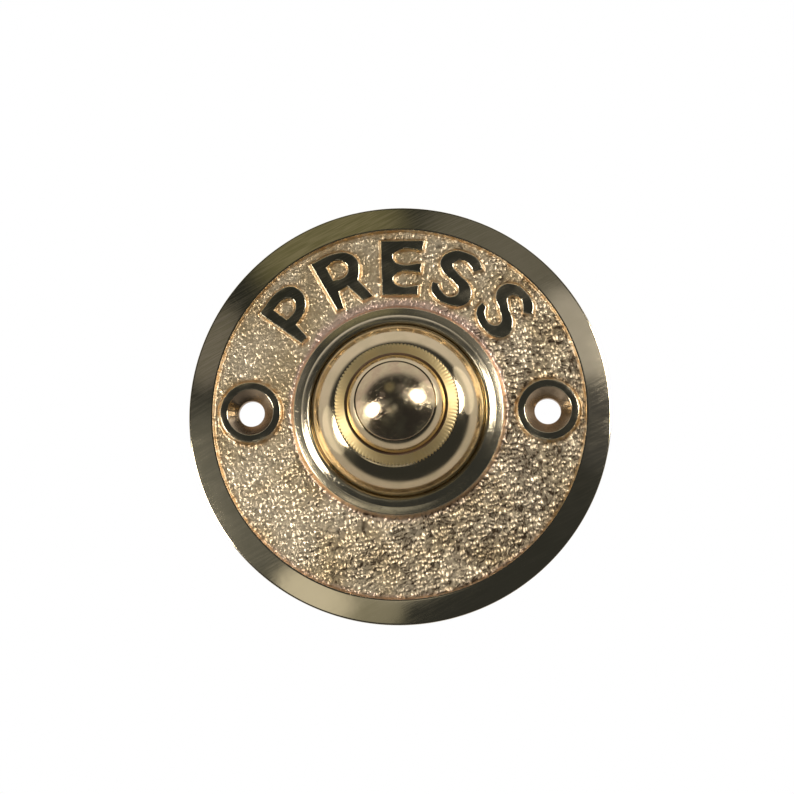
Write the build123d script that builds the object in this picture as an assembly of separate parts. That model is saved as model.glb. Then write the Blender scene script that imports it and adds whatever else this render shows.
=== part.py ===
# A round brass bell push: a cast plate with a raised ring, a turned dome screwed into the ring,
# and a domed button that slides in a threaded bush and closes a leaf contact behind the dome.
# Each piece is drawn lying on its back, with the push axis along Z and heights measured
# forward from the wall. It is then stood up to face -Y, with the wall at Y = 0 and Z up.
import math
import os

from build123d import *

# Face plate, one casting
plate_diameter = 76.0
edge_height = 2.2  # straight outer edge
ground_height = 2.3  # stippled ground between rim and ring
rim_width = 4.4
rim_rise = 0.7  # inner edge of the polished rim above the ground
rim_crown = 0.08  # bulge of the rim over its chord
ground_slope = 0.5  # width of the sloped foot of the rim and the bosses

# Raised ring of the plate, round the dome
ring_width = 3.1
ring_rise = 2.1  # crest above the ground
ring_edge_rise = 1.35  # outer edge of its polished face above the ground
ring_crown = 0.1  # bulge of the face over the chord from its crest to its edge
ring_foot_width = 1.0  # hollow foot, out from the ring
ring_foot_hollow = 0.2
ring_bevel_width = 0.75
ring_bevel_depth = 0.2

# Back of the plate
relief_depth = 0.8
relief_rim = 3.5  # land left at the plate's edge
relief_hub = 2.0  # land left round the ring
screw_pad_diameter = 12.6

# Screw bosses
screw_spacing = 53.5
screw_hole_diameter = 4.7
countersink_diameter = 8.4
countersink_angle = 90.0
boss_diameter = 11.2  # at its foot
boss_draft = 0.2  # how far its side leans in
boss_rise = 0.7

# Dome, threaded into the plate
dome_diameter = 31.2
dome_gap = 0.15  # between dome and ring
dome_height = 9.1  # flat top, seat of the ring nut
dome_bulge = 0.7  # bulge of the side over its chord
dome_top_thickness = 1.2
skirt_height = 0.8  # straight foot above the seat
seat_width = 1.6  # flat foot that rests on the plate
spigot_wall = 1.5  # threaded foot inside the plate
spigot_length = 1.4
cavity_straight = 3.2  # length of the cavity's straight wall
thread_gap = 0.05

# Guide bush
bush_wall = 1.8
bush_flange_width = 1.45
bush_flange_thickness = 0.8
bush_flange_gap = 0.2  # inside the dome
nose_rise = 2.55  # tip above the ring nut
nose_lip = 0.2  # flat left round the bore at the tip
nose_bulge = 0.25

# Ring nut, knurled round its edge
nut_width = 2.05
nut_ledge = 0.1  # top of the dome showing round the nut
nut_edge_height = 1.0
nut_face_rise = 0.3  # the face is slightly coned
nut_chamfer = 0.3  # lead-in of its thread
groove_count = 104
groove_depth = 0.3
groove_width = 0.5

# Button
button_diameter = 13.6
button_gap = 0.15
button_dome_height = 3.0
button_stand = 0.05  # edge of the dome above the bush
button_flange_width = 1.5
button_flange_thickness = 0.95
button_travel = 1.2
running_gap = 0.05

# Insulating tip in the back of the button
tip_diameter = 3.0
tip_head_diameter = 4.4
tip_depth = 3.0  # shank inside the button

# Contact base, let into the back of the plate
base_setback = 0.3  # from the wall to the base
recess_depth = 1.9
recess_wall = 0.4  # from the recess to the outside of the ring
web_thickness = 1.5  # plate between the recess and the dome's seat
base_gap = 0.2
base_front_height = 2.5
base_boss_gap = 0.3  # inside the dome
pocket_width = 6.6
pocket_depth = 1.4
barrier_width = 1.2

# Contacts
strip_thickness = 0.3
strip_width = 4.0
strip_overlap = 2.0  # strip past the push axis
contact_gap = 0.02  # left between the contacts at full travel
pip_height = 0.25
pip_radius = 1.0
leaf_foot = 2.0  # foot from the terminal's axis to the first bend
leaf_flat = 2.0  # flat of the leaf on each side of the push axis
leaf_bend = 0.8

# Terminals
terminal_inset = 3.1  # from the cavity's wall
foot_end = 1.9  # end of a contact beyond its terminal
eyelet_diameter = 3.0
eyelet_flange_diameter = 3.8
eyelet_flange_thickness = 0.5
terminal_screw_diameter = 2.0
terminal_head_diameter = 3.8
terminal_head_thickness = 1.0
washer_diameter = 4.4
washer_thickness = 0.4
screw_gap = 0.05  # round a screw or eyelet in its hole

# Screws of the base
base_screw_diameter = 1.6
base_head_diameter = 3.0
base_head_thickness = 0.8
base_head_sink = 0.1  # head below the back of the base
base_screw_inset = 2.1  # from the base's edge
base_screw_reach = 1.2  # thread in the plate
slot_width = 0.6
slot_depth = 0.4

# Radii that one piece hands to the next
plate_radius = plate_diameter / 2
dome_radius = dome_diameter / 2
ring_bore_radius = dome_radius + dome_gap
ring_radius = ring_bore_radius + ring_width
spigot_radius = dome_radius - seat_width
cavity_radius = spigot_radius - spigot_wall
button_radius = button_diameter / 2
bore_radius = button_radius + button_gap
bush_radius = bore_radius + bush_wall
bush_flange_radius = bush_radius + bush_flange_width
nut_radius = bush_radius + thread_gap + nut_width
recess_radius = ring_radius - recess_wall
base_radius = recess_radius - base_gap
terminal_offset = cavity_radius - terminal_inset
base_screw_offset = base_radius - base_screw_inset

# Heights that one piece hands to the next
ledge_height = recess_depth + web_thickness
dome_ceiling = dome_height - dome_top_thickness
nut_face_height = dome_height + nut_edge_height + nut_face_rise
nose_height = nut_face_height + nose_rise
bush_back = dome_ceiling - bush_flange_thickness
button_flange_front = bush_back - running_gap
button_flange_back = button_flange_front - button_flange_thickness
button_edge_height = nose_height + button_stand
strip_top = base_front_height + strip_thickness
leaf_underside = strip_top + button_travel + contact_gap + pip_height
tip_height = leaf_underside + strip_thickness + running_gap
pocket_floor = base_setback + pocket_depth

screw_places = [(-screw_spacing / 2, 0), (screw_spacing / 2, 0)]
terminal_places = [(-terminal_offset, 0), (terminal_offset, 0)]
base_screw_places = [(0, -base_screw_offset), (0, base_screw_offset)]


def turned(outline):
    return revolve(Plane.XZ * make_face(outline), Axis.Z)


def cylinder(radius, low, high):
    return Pos(0, 0, low) * extrude(Circle(radius), high - low)


def ring(outer_radius, inner_radius, low, high):
    return Pos(0, 0, low) * extrude(Circle(outer_radius) - Circle(inner_radius), high - low)


def at_places(places, shape):
    return [Pos(x, y, 0) * shape for x, y in places]


def slotted_screw(head_diameter, head_back, head_front, diameter, tip):
    screw = cylinder(head_diameter / 2, head_back, head_front) + cylinder(diameter / 2, head_front, tip)
    slot = Pos(0, 0, head_back) * Box(head_diameter, slot_width, 2 * slot_depth)
    return screw - slot


# Half section of the plate, from its centre hole round the back and over the front
def plate_body():
    hole = spigot_radius + thread_gap
    rim_inner = plate_radius - rim_width
    rim_top = ground_height + rim_rise
    ring_foot = ring_radius + ring_foot_width
    ring_edge = ground_height + ring_edge_rise
    crest = ground_height + ring_rise
    crest_radius = ring_bore_radius + ring_bevel_width
    outline = (
        Polyline((ring_bore_radius, ledge_height), (hole, ledge_height), (hole, recess_depth),
                 (recess_radius, recess_depth), (recess_radius, 0), (plate_radius, 0),
                 (plate_radius, edge_height))
        + SagittaArc((plate_radius, edge_height), (rim_inner, rim_top), -rim_crown)
        + Polyline((rim_inner, rim_top), (rim_inner - ground_slope, ground_height),
                   (ring_foot, ground_height))
        + SagittaArc((ring_foot, ground_height), (ring_radius, ring_edge), ring_foot_hollow)
        + SagittaArc((ring_radius, ring_edge), (crest_radius, crest), -ring_crown)
        + Polyline((crest_radius, crest), (ring_bore_radius, crest - ring_bevel_depth),
                   (ring_bore_radius, ledge_height))
    )
    return turned(outline)


# Raised boss with a sloped foot
def screw_boss():
    foot_radius = boss_diameter / 2
    root = ground_height - relief_depth / 2
    top = ground_height + boss_rise
    skirt_radius = foot_radius + ground_slope
    return turned(Polyline((0, root), (skirt_radius, root), (skirt_radius, ground_height),
                           (foot_radius, ground_height + boss_rise / 2),
                           (foot_radius - boss_draft, top), (0, top), (0, root)))


def countersunk_hole():
    hole = screw_hole_diameter / 2
    rim = countersink_diameter / 2
    top = ground_height + boss_rise
    slope = 1 / math.tan(math.radians(countersink_angle / 2))
    mouth = rim + boss_rise / slope
    return turned(Polyline((0, -boss_rise), (hole, -boss_rise), (hole, top - (rim - hole) * slope),
                           (mouth, top + boss_rise), (0, top + boss_rise), (0, -boss_rise)))


def back_relief():
    field = Circle(plate_radius - relief_rim) - Circle(ring_radius + relief_hub)
    pads = at_places(screw_places, Circle(screw_pad_diameter / 2))
    return extrude(field - pads, relief_depth)


def face_plate():
    tapped = cylinder(base_screw_diameter / 2 + screw_gap, recess_depth, recess_depth + base_screw_reach)
    plate = plate_body() - back_relief() + at_places(screw_places, screw_boss())
    return plate - at_places(screw_places, countersunk_hole()) - at_places(base_screw_places, tapped)


def dome():
    shoulder_radius = nut_radius + nut_ledge
    skirt_top = ledge_height + skirt_height
    spigot_back = ledge_height - spigot_length
    throat = bush_flange_radius + bush_flange_gap
    hole = bush_radius + thread_gap
    outline = (
        Polyline((shoulder_radius, dome_height), (hole, dome_height), (hole, dome_ceiling),
                 (throat, dome_ceiling), (cavity_radius, spigot_back + cavity_straight),
                 (cavity_radius, spigot_back), (spigot_radius, spigot_back), (spigot_radius, ledge_height),
                 (dome_radius, ledge_height), (dome_radius, skirt_top))
        + SagittaArc((dome_radius, skirt_top), (shoulder_radius, dome_height), -dome_bulge)
    )
    return turned(outline)


def guide_bush():
    tip = bore_radius + nose_lip
    outline = (
        Polyline((tip, nose_height), (bore_radius, nose_height), (bore_radius, bush_back),
                 (bush_flange_radius, bush_back), (bush_flange_radius, dome_ceiling),
                 (bush_radius, dome_ceiling), (bush_radius, nut_face_height))
        + SagittaArc((bush_radius, nut_face_height), (tip, nose_height), -nose_bulge)
    )
    return turned(outline)


# The knurl is cut by one upright V, repeated round the axis
def ring_nut():
    inner = bush_radius + thread_gap
    edge_top = dome_height + nut_edge_height
    blank = turned(Polyline((inner, dome_height), (nut_radius, dome_height), (nut_radius, edge_top),
                            (inner + nut_chamfer, nut_face_height), (inner, nut_face_height - nut_chamfer),
                            (inner, dome_height)))
    root = nut_radius - groove_depth
    mouth = nut_radius + groove_depth  # the V keeps its angle out past the edge
    vee = make_face(Polyline((root, 0), (mouth, groove_width), (mouth, -groove_width), (root, 0)))
    cutter = Pos(0, 0, dome_height - nut_face_rise) * extrude(vee, nut_edge_height + 3 * nut_face_rise)
    return blank - [Rot(0, 0, turn * 360 / groove_count) * cutter for turn in range(groove_count)]


def button():
    flange_radius = button_radius + button_flange_width
    top = button_edge_height + button_dome_height
    hole = tip_diameter / 2
    hole_end = button_flange_back + tip_depth
    chord = math.hypot(button_radius, button_dome_height)
    cap_radius = chord**2 / (2 * button_dome_height)
    outline = (
        Polyline((0, top), (0, hole_end), (hole, hole_end), (hole, button_flange_back),
                 (flange_radius, button_flange_back), (flange_radius, button_flange_front),
                 (button_radius, button_flange_front), (button_radius, button_edge_height))
        + RadiusArc((button_radius, button_edge_height), (0, top), -cap_radius)
    )
    return turned(outline)


def button_tip():
    shank = cylinder(tip_diameter / 2, button_flange_back, button_flange_back + tip_depth)
    return shank + cylinder(tip_head_diameter / 2, tip_height, button_flange_back)


def contact_base():
    disc = cylinder(base_radius, base_setback, recess_depth)
    disc += cylinder(cavity_radius - base_boss_gap, recess_depth, base_front_height)
    pocket = SlotCenterToCenter(2 * terminal_offset, pocket_width) - Rectangle(barrier_width, pocket_width)
    eyelet_hole = cylinder(eyelet_diameter / 2 + screw_gap, base_setback, base_front_height)
    sink = base_setback + base_head_sink + base_head_thickness
    screw_hole = cylinder(base_screw_diameter / 2 + screw_gap, base_setback, recess_depth)
    screw_hole += cylinder(base_head_diameter / 2 + screw_gap, base_setback, sink)
    disc -= Pos(0, 0, base_setback) * extrude(pocket, pocket_depth)
    return disc - at_places(terminal_places, eyelet_hole) - at_places(base_screw_places, screw_hole)


# Bent leaf: a foot under its terminal, a ramp, and a flat with a pip under the button's tip
def contact_spring():
    foot = base_front_height + strip_thickness / 2
    flat = leaf_underside + strip_thickness / 2
    path = FilletPolyline((terminal_offset + foot_end, foot), (terminal_offset - leaf_foot, foot),
                          (leaf_flat, flat), (-leaf_flat, flat), radius=leaf_bend)
    path = Plane.XZ * path
    start = Plane(origin=path @ 0, x_dir=(0, 1, 0), z_dir=path % 0)
    leaf = sweep(start * Rectangle(strip_width, strip_thickness), path)
    pip = Pos(0, 0, leaf_underside - pip_height) * Cone(pip_radius / 2, pip_radius, pip_height,
                                                        align=(Align.CENTER, Align.CENTER, Align.MIN))
    hole = cylinder(eyelet_diameter / 2 + screw_gap, base_front_height, strip_top)
    return leaf + pip - Pos(terminal_offset, 0, 0) * hole


def contact_strip():
    length = terminal_offset + foot_end + strip_overlap
    bar = Pos(strip_overlap - length / 2, 0, base_front_height) * extrude(
        SlotOverall(length, strip_width), strip_thickness)
    hole = cylinder(eyelet_diameter / 2 + screw_gap, base_front_height, strip_top)
    return bar - Pos(-terminal_offset, 0, 0) * hole


def terminal_bushes():
    bore = terminal_screw_diameter / 2 + screw_gap
    eyelet = ring(eyelet_diameter / 2, bore, pocket_floor, strip_top)
    eyelet += ring(eyelet_flange_diameter / 2, bore, strip_top, strip_top + eyelet_flange_thickness)
    return Compound(at_places(terminal_places, eyelet))


def terminal_screws():
    head_front = pocket_floor - washer_thickness
    head_back = head_front - terminal_head_thickness
    screw = slotted_screw(terminal_head_diameter, head_back, head_front, terminal_screw_diameter, strip_top)
    return Compound(at_places(terminal_places, screw))


def terminal_washers():
    hole = terminal_screw_diameter / 2 + screw_gap
    washer = ring(washer_diameter / 2, hole, pocket_floor - washer_thickness, pocket_floor)
    return Compound(at_places(terminal_places, washer))


def base_screws():
    head_back = base_setback + base_head_sink
    head_front = head_back + base_head_thickness
    tip = recess_depth + base_screw_reach
    screw = slotted_screw(base_head_diameter, head_back, head_front, base_screw_diameter, tip)
    return Compound(at_places(base_screw_places, screw))


pieces = {
    "face_plate": face_plate,
    "dome": dome,
    "guide_bush": guide_bush,
    "ring_nut": ring_nut,
    "button": button,
    "button_tip": button_tip,
    "contact_base": contact_base,
    "contact_spring": contact_spring,
    "contact_strip": contact_strip,
    "terminal_bushes": terminal_bushes,
    "terminal_screws": terminal_screws,
    "terminal_washers": terminal_washers,
    "base_screws": base_screws,
}

os.makedirs("parts", exist_ok=True)
for name, make in pieces.items():
    export_step(Rot(90, 0, 0) * make(), f"parts/{name}.step")
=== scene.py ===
import math
import random

import bmesh
import bpy
from mathutils import Matrix, Vector, noise
from mathutils.bvhtree import BVHTree
from mathutils.kdtree import KDTree


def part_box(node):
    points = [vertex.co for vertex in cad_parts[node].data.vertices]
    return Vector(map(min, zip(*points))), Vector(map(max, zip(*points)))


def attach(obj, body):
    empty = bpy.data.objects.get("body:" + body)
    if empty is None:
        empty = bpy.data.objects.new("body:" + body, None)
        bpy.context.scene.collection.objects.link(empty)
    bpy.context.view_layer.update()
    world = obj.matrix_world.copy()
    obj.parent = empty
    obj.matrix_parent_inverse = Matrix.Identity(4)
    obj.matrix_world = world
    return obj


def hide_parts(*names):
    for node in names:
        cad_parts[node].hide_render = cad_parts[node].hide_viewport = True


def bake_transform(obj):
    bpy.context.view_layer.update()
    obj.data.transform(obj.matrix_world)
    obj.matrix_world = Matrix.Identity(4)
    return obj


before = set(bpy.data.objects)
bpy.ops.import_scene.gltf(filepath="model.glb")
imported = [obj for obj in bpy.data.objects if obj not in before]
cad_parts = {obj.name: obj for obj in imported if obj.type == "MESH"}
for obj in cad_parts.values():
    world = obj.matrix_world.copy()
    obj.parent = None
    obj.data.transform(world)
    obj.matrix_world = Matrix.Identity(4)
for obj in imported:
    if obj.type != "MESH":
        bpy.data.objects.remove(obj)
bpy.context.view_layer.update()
mm = 0.001
pushAxis = (0, 1, 0)
screwSpacing = 26.75  # from the push axis to a screw hole, millimetres
weldDistance = 0.0005  # millimetres
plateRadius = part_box("face_plate")[1].x  # metres, from the frame
print("frame loaded, plate radius", round(plateRadius / mm, 2), "mm")


# Places: sizes are millimetres, radius from the push axis and height forward from the wall
def onFace(x, height, z):
    return Vector((x * mm, -height * mm, z * mm))


def onlyVerts(items):
    return [item for item in items if isinstance(item, bmesh.types.BMVert)]


def weld(bm, distance=weldDistance):
    bmesh.ops.remove_doubles(bm, verts=bm.verts[:], dist=distance * mm)


def turnOutward(bm):
    bmesh.ops.recalc_face_normals(bm, faces=bm.faces[:])


# A profile is drawn point by point in the half plane z = 0, then spun
def startProfile(bm, radius, height):
    return bm.verts.new(onFace(radius, height, 0))


def lineTo(bm, vert, radius, height):
    tip = bmesh.ops.extrude_vert_indiv(bm, verts=[vert])["verts"][0]
    tip.co = onFace(radius, height, 0)
    return tip


def linesTo(bm, vert, places):
    for radius, height in places:
        vert = lineTo(bm, vert, radius, height)
    return vert


# The same, through places that are pairs of names of a piece's sizes
def namedLines(bm, vert, sizes, names):
    return linesTo(bm, vert, [(sizes[radius], sizes[height]) for radius, height in names])


def arcTo(bm, vert, radius, height, bulge, steps):
    start = vert.co.copy()
    end = onFace(radius, height, 0)
    chord = end - start
    side = Vector((-chord.y, chord.x, 0)).normalized()
    rise = bulge * mm
    arcRadius = (chord.length_squared / 4 + rise * rise) / (2 * rise)
    centre = (start + end) / 2 + side * (rise - arcRadius)
    angle = -2 * math.asin(chord.length / (2 * arcRadius))
    spun = bmesh.ops.spin(bm, geom=[vert], cent=centre, axis=(0, 0, 1), angle=angle, steps=steps)
    tip = onlyVerts(spun["geom_last"])[0]
    tip.co = end
    return tip


def spinRound(bm, steps):
    bmesh.ops.spin(bm, geom=bm.verts[:] + bm.edges[:], cent=(0, 0, 0), axis=pushAxis,
                   angle=2 * math.pi, steps=steps, use_merge=True)
    weld(bm)
    turnOutward(bm)


# An arc that ends where its profile began
def closeProfile(bm):
    weld(bm, 2 * weldDistance)


def roundEdges(bm, width, overAngle):
    limit = math.radians(overAngle)
    edges = [edge for edge in bm.edges if len(edge.link_faces) == 2 and edge.calc_face_angle() > limit]
    bmesh.ops.bevel(bm, geom=edges, offset=width * mm, offset_type="OFFSET", segments=2,
                    profile=0.5, affect="EDGES", material=-1, clamp_overlap=True)


def spinAndRound(bm, sizes):
    spinRound(bm, sizes["steps"])
    roundEdges(bm, sizes["softening"], sizes["softenOver"])
    return bm


def addObject(name, data):
    item = bpy.data.objects.new(name, data)
    bpy.context.scene.collection.objects.link(item)
    return item


def meshObject(name, bm):
    mesh = bpy.data.meshes.new(name)
    bm.to_mesh(mesh)
    bm.free()
    return addObject(name, mesh)


def finishPiece(piece, material, body, sharpAngle=40):
    piece.data.materials.clear()
    piece.data.materials.append(material)
    piece.data.shade_smooth()
    piece.data.set_sharp_from_angle(angle=math.radians(sharpAngle))
    flatten = piece.modifiers.new("flat_faces", "WEIGHTED_NORMAL")
    flatten.keep_sharp = True
    flatten.weight = 80
    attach(piece, body)
    return piece


def evaluatedMesh(item):
    depsgraph = bpy.context.evaluated_depsgraph_get()
    return bpy.data.meshes.new_from_object(item.evaluated_get(depsgraph))


# Cutters and additions are closed meshes; the result replaces the piece's mesh
def combine(piece, other, operation):
    modifier = piece.modifiers.new("combine", "BOOLEAN")
    modifier.operation = operation
    modifier.solver = "MANIFOLD"
    modifier.object = other
    mesh = evaluatedMesh(piece)
    piece.modifiers.clear()
    old = piece.data
    piece.data = mesh
    bpy.data.meshes.remove(old)
    bpy.data.meshes.remove(other.data)


# Materials
groundLooks = ("hollowShade", "stain", "blush")  # what the ground's mesh tells its finish
hairline = 0.00002  # depth of a fine mark, metres
# Between which values a noise takes effect
hazeRange = (0.35, 0.7)
dullRange = (0.3, 0.75)
grainRange = (0.3, 0.7)


def newMaterial(name):
    material = bpy.data.materials.new(name)
    material.use_nodes = True
    tree = material.node_tree
    return material, tree, tree.nodes["Principled BSDF"]


def addNode(tree, kind, **settings):
    node = tree.nodes.new(kind)
    for key, value in settings.items():
        setattr(node, key, value)
    return node


def setInputs(node, **values):
    for key, value in values.items():
        node.inputs[key].default_value = value
    return node


def noiseNode(tree, vector, scale, detail, roughness=0.55):
    node = addNode(tree, "ShaderNodeTexNoise")
    setInputs(node, Scale=scale, Detail=detail, Roughness=roughness)
    tree.links.new(vector, node.inputs["Vector"])
    return node.outputs["Fac"]


def rangeNode(tree, value, fromMin, fromMax, toMin, toMax):
    node = addNode(tree, "ShaderNodeMapRange", interpolation_type="SMOOTHSTEP")
    names = ("From Min", "From Max", "To Min", "To Max")
    for key, number in zip(names, (fromMin, fromMax, toMin, toMax)):
        node.inputs[key].default_value = number
    tree.links.new(value, node.inputs["Value"])
    return node.outputs["Result"]


# How much of the second colour shows in a hazy mix
def hazeShare(tree, haze):
    return rangeNode(tree, haze, *hazeRange, 0, 1)


def mathNode(tree, operation, first, second):
    node = addNode(tree, "ShaderNodeMath", operation=operation)
    for socket, value in zip(node.inputs, (first, second)):
        if isinstance(value, (int, float)):
            socket.default_value = value
        else:
            tree.links.new(value, socket)
    return node.outputs[0]


def mixColours(tree, factor, first, second):
    node = addNode(tree, "ShaderNodeMix", data_type="RGBA")
    tree.links.new(factor, node.inputs["Factor"])
    for socket, value in zip((node.inputs[6], node.inputs[7]), (first, second)):  # its colour sockets
        if isinstance(value, tuple):
            socket.default_value = (*value, 1)
        else:
            tree.links.new(value, socket)
    return node.outputs[2]


def bumpNode(tree, height, strength, distance, normal=None):
    node = addNode(tree, "ShaderNodeBump")
    setInputs(node, Strength=strength, Distance=distance)
    tree.links.new(height, node.inputs["Height"])
    if normal:
        tree.links.new(normal, node.inputs["Normal"])
    return node.outputs["Normal"]


def linkLooks(tree, shader, colour, roughness, normal):
    for key, value in zip(("Base Color", "Roughness", "Normal"), (colour, roughness, normal)):
        tree.links.new(value, shader.inputs[key])


def mappedPlace(tree, rotation=(0, 0, 0), sizes=(1, 1, 1)):
    place = addNode(tree, "ShaderNodeTexCoord")
    mapping = addNode(tree, "ShaderNodeMapping", vector_type="TEXTURE")
    mapping.inputs["Rotation"].default_value = rotation
    mapping.inputs["Scale"].default_value = sizes
    tree.links.new(place.outputs["Object"], mapping.inputs["Vector"])
    return mapping.outputs["Vector"]


def splitPlace(tree):
    split = addNode(tree, "ShaderNodeSeparateXYZ")
    tree.links.new(mappedPlace(tree), split.inputs[0])
    return [split.outputs[key] for key in "XYZ"]


# Distance from the push axis, as a vector for ring shaped patterns
def radiusPlace(tree):
    x, y, z = splitPlace(tree)
    square = mathNode(tree, "ADD", mathNode(tree, "MULTIPLY", x, x), mathNode(tree, "MULTIPLY", z, z))
    join = addNode(tree, "ShaderNodeCombineXYZ")
    tree.links.new(mathNode(tree, "SQRT", square, 0), join.inputs["X"])
    tree.links.new(y, join.inputs["Y"])
    return join.outputs["Vector"]


def patchNoise(tree, scale, detail):
    return noiseNode(tree, mappedPlace(tree), scale, detail)


# Lines drawn across the face at a slant, as long and as wide as given in millimetres
def brushLines(tree, slant, length, width):
    sizes = (length * mm, 1, width * mm)
    return noiseNode(tree, mappedPlace(tree, (0, -math.radians(slant), 0), sizes), scale=1, detail=2)


# Turning marks run round an axis, so a highlight spreads along the radius
def turnedTangent(tree, shader, axisOffset):
    x, y, z = splitPlace(tree)
    axis = mathNode(tree, "MULTIPLY", mathNode(tree, "SIGN", x, 0), axisOffset * mm)
    outward = mathNode(tree, "SUBTRACT", x, axis)
    outward = mathNode(tree, "ADD", outward, 0.000001)  # never quite zero
    join = addNode(tree, "ShaderNodeCombineXYZ")
    tree.links.new(outward, join.inputs["X"])
    tree.links.new(z, join.inputs["Z"])
    tree.links.new(join.outputs["Vector"], shader.inputs["Tangent"])


brassLook = {
    "colour": (0.80, 0.63, 0.39),
    "worn": (0.72, 0.58, 0.35),
    "rim": (0.80, 0.67, 0.45),
    "dullRim": (0.74, 0.62, 0.41),
    # painted shade along the linished lines
    "shade": (0.56, 0.48, 0.28),
    "handled": (0.63, 0.46, 0.29),
    "satin": (0.98, 0.74, 0.36),
    "dullSatin": (0.88, 0.64, 0.29),
    "grain": (0.86, 0.69, 0.46),
    "dullGrain": (0.66, 0.49, 0.27),
    "bored": (0.66, 0.50, 0.33),
    "dullBored": (0.50, 0.37, 0.24),
    "stain": (0.58, 0.35, 0.15),
    "blush": (0.84, 0.58, 0.45),
    # painted shade for the hollows of the ground and the slots of screws
    "paintedShade": (0.09, 0.06, 0.035),
    "skin": (0.50, 0.37, 0.20),
    "dullSkin": (0.36, 0.26, 0.14),
}


# Turned pieces: fine rings left by the tool, a few scratches and finger haze
turned = {
    "rings": 9000, "ringDepth": 0.05, "scratchFrom": 0.62, "scratchFull": 0.75,
    "rising": (40, 1.6, 0.06), "falling": (-25, 1.3, 0.05),  # slant, length and width
}


def turnedBrass(name, colours, smooth, rough, spread, hazeScale=260, scratchDepth=0.06, axisOffset=0):
    material, tree, shader = newMaterial(name)
    haze = patchNoise(tree, hazeScale, detail=4)
    rings = noiseNode(tree, radiusPlace(tree), turned["rings"], detail=2)
    rising = brushLines(tree, *turned["rising"])
    scratches = mathNode(tree, "MAXIMUM", rising, brushLines(tree, *turned["falling"]))
    scratches = rangeNode(tree, scratches, turned["scratchFrom"], turned["scratchFull"], 0, 1)
    colour = mixColours(tree, hazeShare(tree, haze), *[brassLook[key] for key in colours])
    roughness = rangeNode(tree, haze, *dullRange, smooth, rough)
    normal = bumpNode(tree, rings, turned["ringDepth"], hairline)
    normal = bumpNode(tree, scratches, scratchDepth, hairline, normal)
    linkLooks(tree, shader, colour, roughness, normal)
    turnedTangent(tree, shader, axisOffset)
    setInputs(shader, Metallic=1.0, Anisotropic=spread)
    return material


# Rim, bosses and letters: linished by hand, with straight lines at a slant and soft swells; the lines also
# carry painted shade, strongest at the upper left
linished = {
    "haze": 140, "swell": 330, "scuff": 260, "smooth": 0.06, "rough": 0.11,
    "lines": (28, 6.0, 0.22), "lineRange": (0.4, 0.62), "lineDepth": 0.06, "dullRange": (0.35, 0.68),
    "cross": (-50, 3.0, 0.14), "crossRange": (0.6, 0.75), "crossDepth": 0.04,
    # the painted shade along the lines shows where the lines do
    "upperLeft": (-0.5, 0, 0.87), "faintAt": 0.012, "strongAt": 0.034, "faint": 0.12,  # where the lines show
}


def linishedBrass(name, swellDepth, scuffed):
    material, tree, shader = newMaterial(name)
    haze = patchNoise(tree, linished["haze"], detail=4)
    swell = patchNoise(tree, linished["swell"], detail=2)
    lines = brushLines(tree, *linished["lines"])
    cross = rangeNode(tree, brushLines(tree, *linished["cross"]), *linished["crossRange"], 0, 1)
    upperLeft = addNode(tree, "ShaderNodeVectorMath", operation="DOT_PRODUCT")
    upperLeft.inputs[1].default_value = linished["upperLeft"]
    tree.links.new(mappedPlace(tree), upperLeft.inputs[0])
    upperLeft = upperLeft.outputs["Value"]
    linesAndShadeShare = rangeNode(tree, upperLeft, linished["faintAt"], linished["strongAt"], linished["faint"], 1)
    streakLinesAndShade = mathNode(tree, "MULTIPLY", rangeNode(tree, lines, *linished["lineRange"], 1, 0), linesAndShadeShare)
    colour = mixColours(tree, hazeShare(tree, haze), brassLook["rim"], brassLook["dullRim"])
    # Painted shade along the brush lines, standing in for streaky reflections
    colour = mixColours(tree, streakLinesAndShade, colour, brassLook["shade"])
    scuffs = rangeNode(tree, patchNoise(tree, linished["scuff"], detail=2), *hazeRange, 0, scuffed)
    roughness = rangeNode(tree, lines, *linished["dullRange"], linished["smooth"], linished["rough"])
    roughness = mathNode(tree, "ADD", roughness, scuffs)
    normal = bumpNode(tree, swell, 1.0, swellDepth)
    normal = bumpNode(tree, streakLinesAndShade, linished["lineDepth"], hairline, normal)
    normal = bumpNode(tree, cross, linished["crossDepth"], hairline, normal)
    linkLooks(tree, shader, colour, roughness, normal)
    setInputs(shader, Metallic=1.0)
    return material


# Stippled ground: bright pebbles with painted shade in their hollows, heavier on each pebble's shaded side,
# stained and blushed where no tool reached
stippled = {
    "grit": 3600, "gritDepth": 0.00006, "gritStrength": 0.6, "patches": 120, "smooth": 0.34, "rough": 0.46,
    "pits": 1800, "pitDepth": 0.00016, "pitStrength": 0.8,
}


def stippledBrass(name):
    material, tree, shader = newMaterial(name)
    looks = [addNode(tree, "ShaderNodeAttribute", attribute_name=key) for key in groundLooks]
    hollowShade, stain, blush = [look.outputs["Fac"] for look in looks]
    grit = patchNoise(tree, stippled["grit"], detail=2)
    pits = patchNoise(tree, stippled["pits"], detail=2)
    patches = patchNoise(tree, stippled["patches"], detail=3)
    colour = mixColours(tree, hazeShare(tree, patches), brassLook["grain"], brassLook["dullGrain"])
    colour = mixColours(tree, stain, colour, brassLook["stain"])
    colour = mixColours(tree, blush, colour, brassLook["blush"])
    # painted shade in the hollows between pebbles
    colour = mixColours(tree, hollowShade, colour, brassLook["paintedShade"])
    roughness = rangeNode(tree, grit, *grainRange, stippled["smooth"], stippled["rough"])
    normal = bumpNode(tree, pits, stippled["pitStrength"], stippled["pitDepth"])
    normal = bumpNode(tree, grit, stippled["gritStrength"], stippled["gritDepth"], normal)
    linkLooks(tree, shader, colour, roughness, normal)
    setInputs(shader, Metallic=1.0)
    return material


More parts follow.
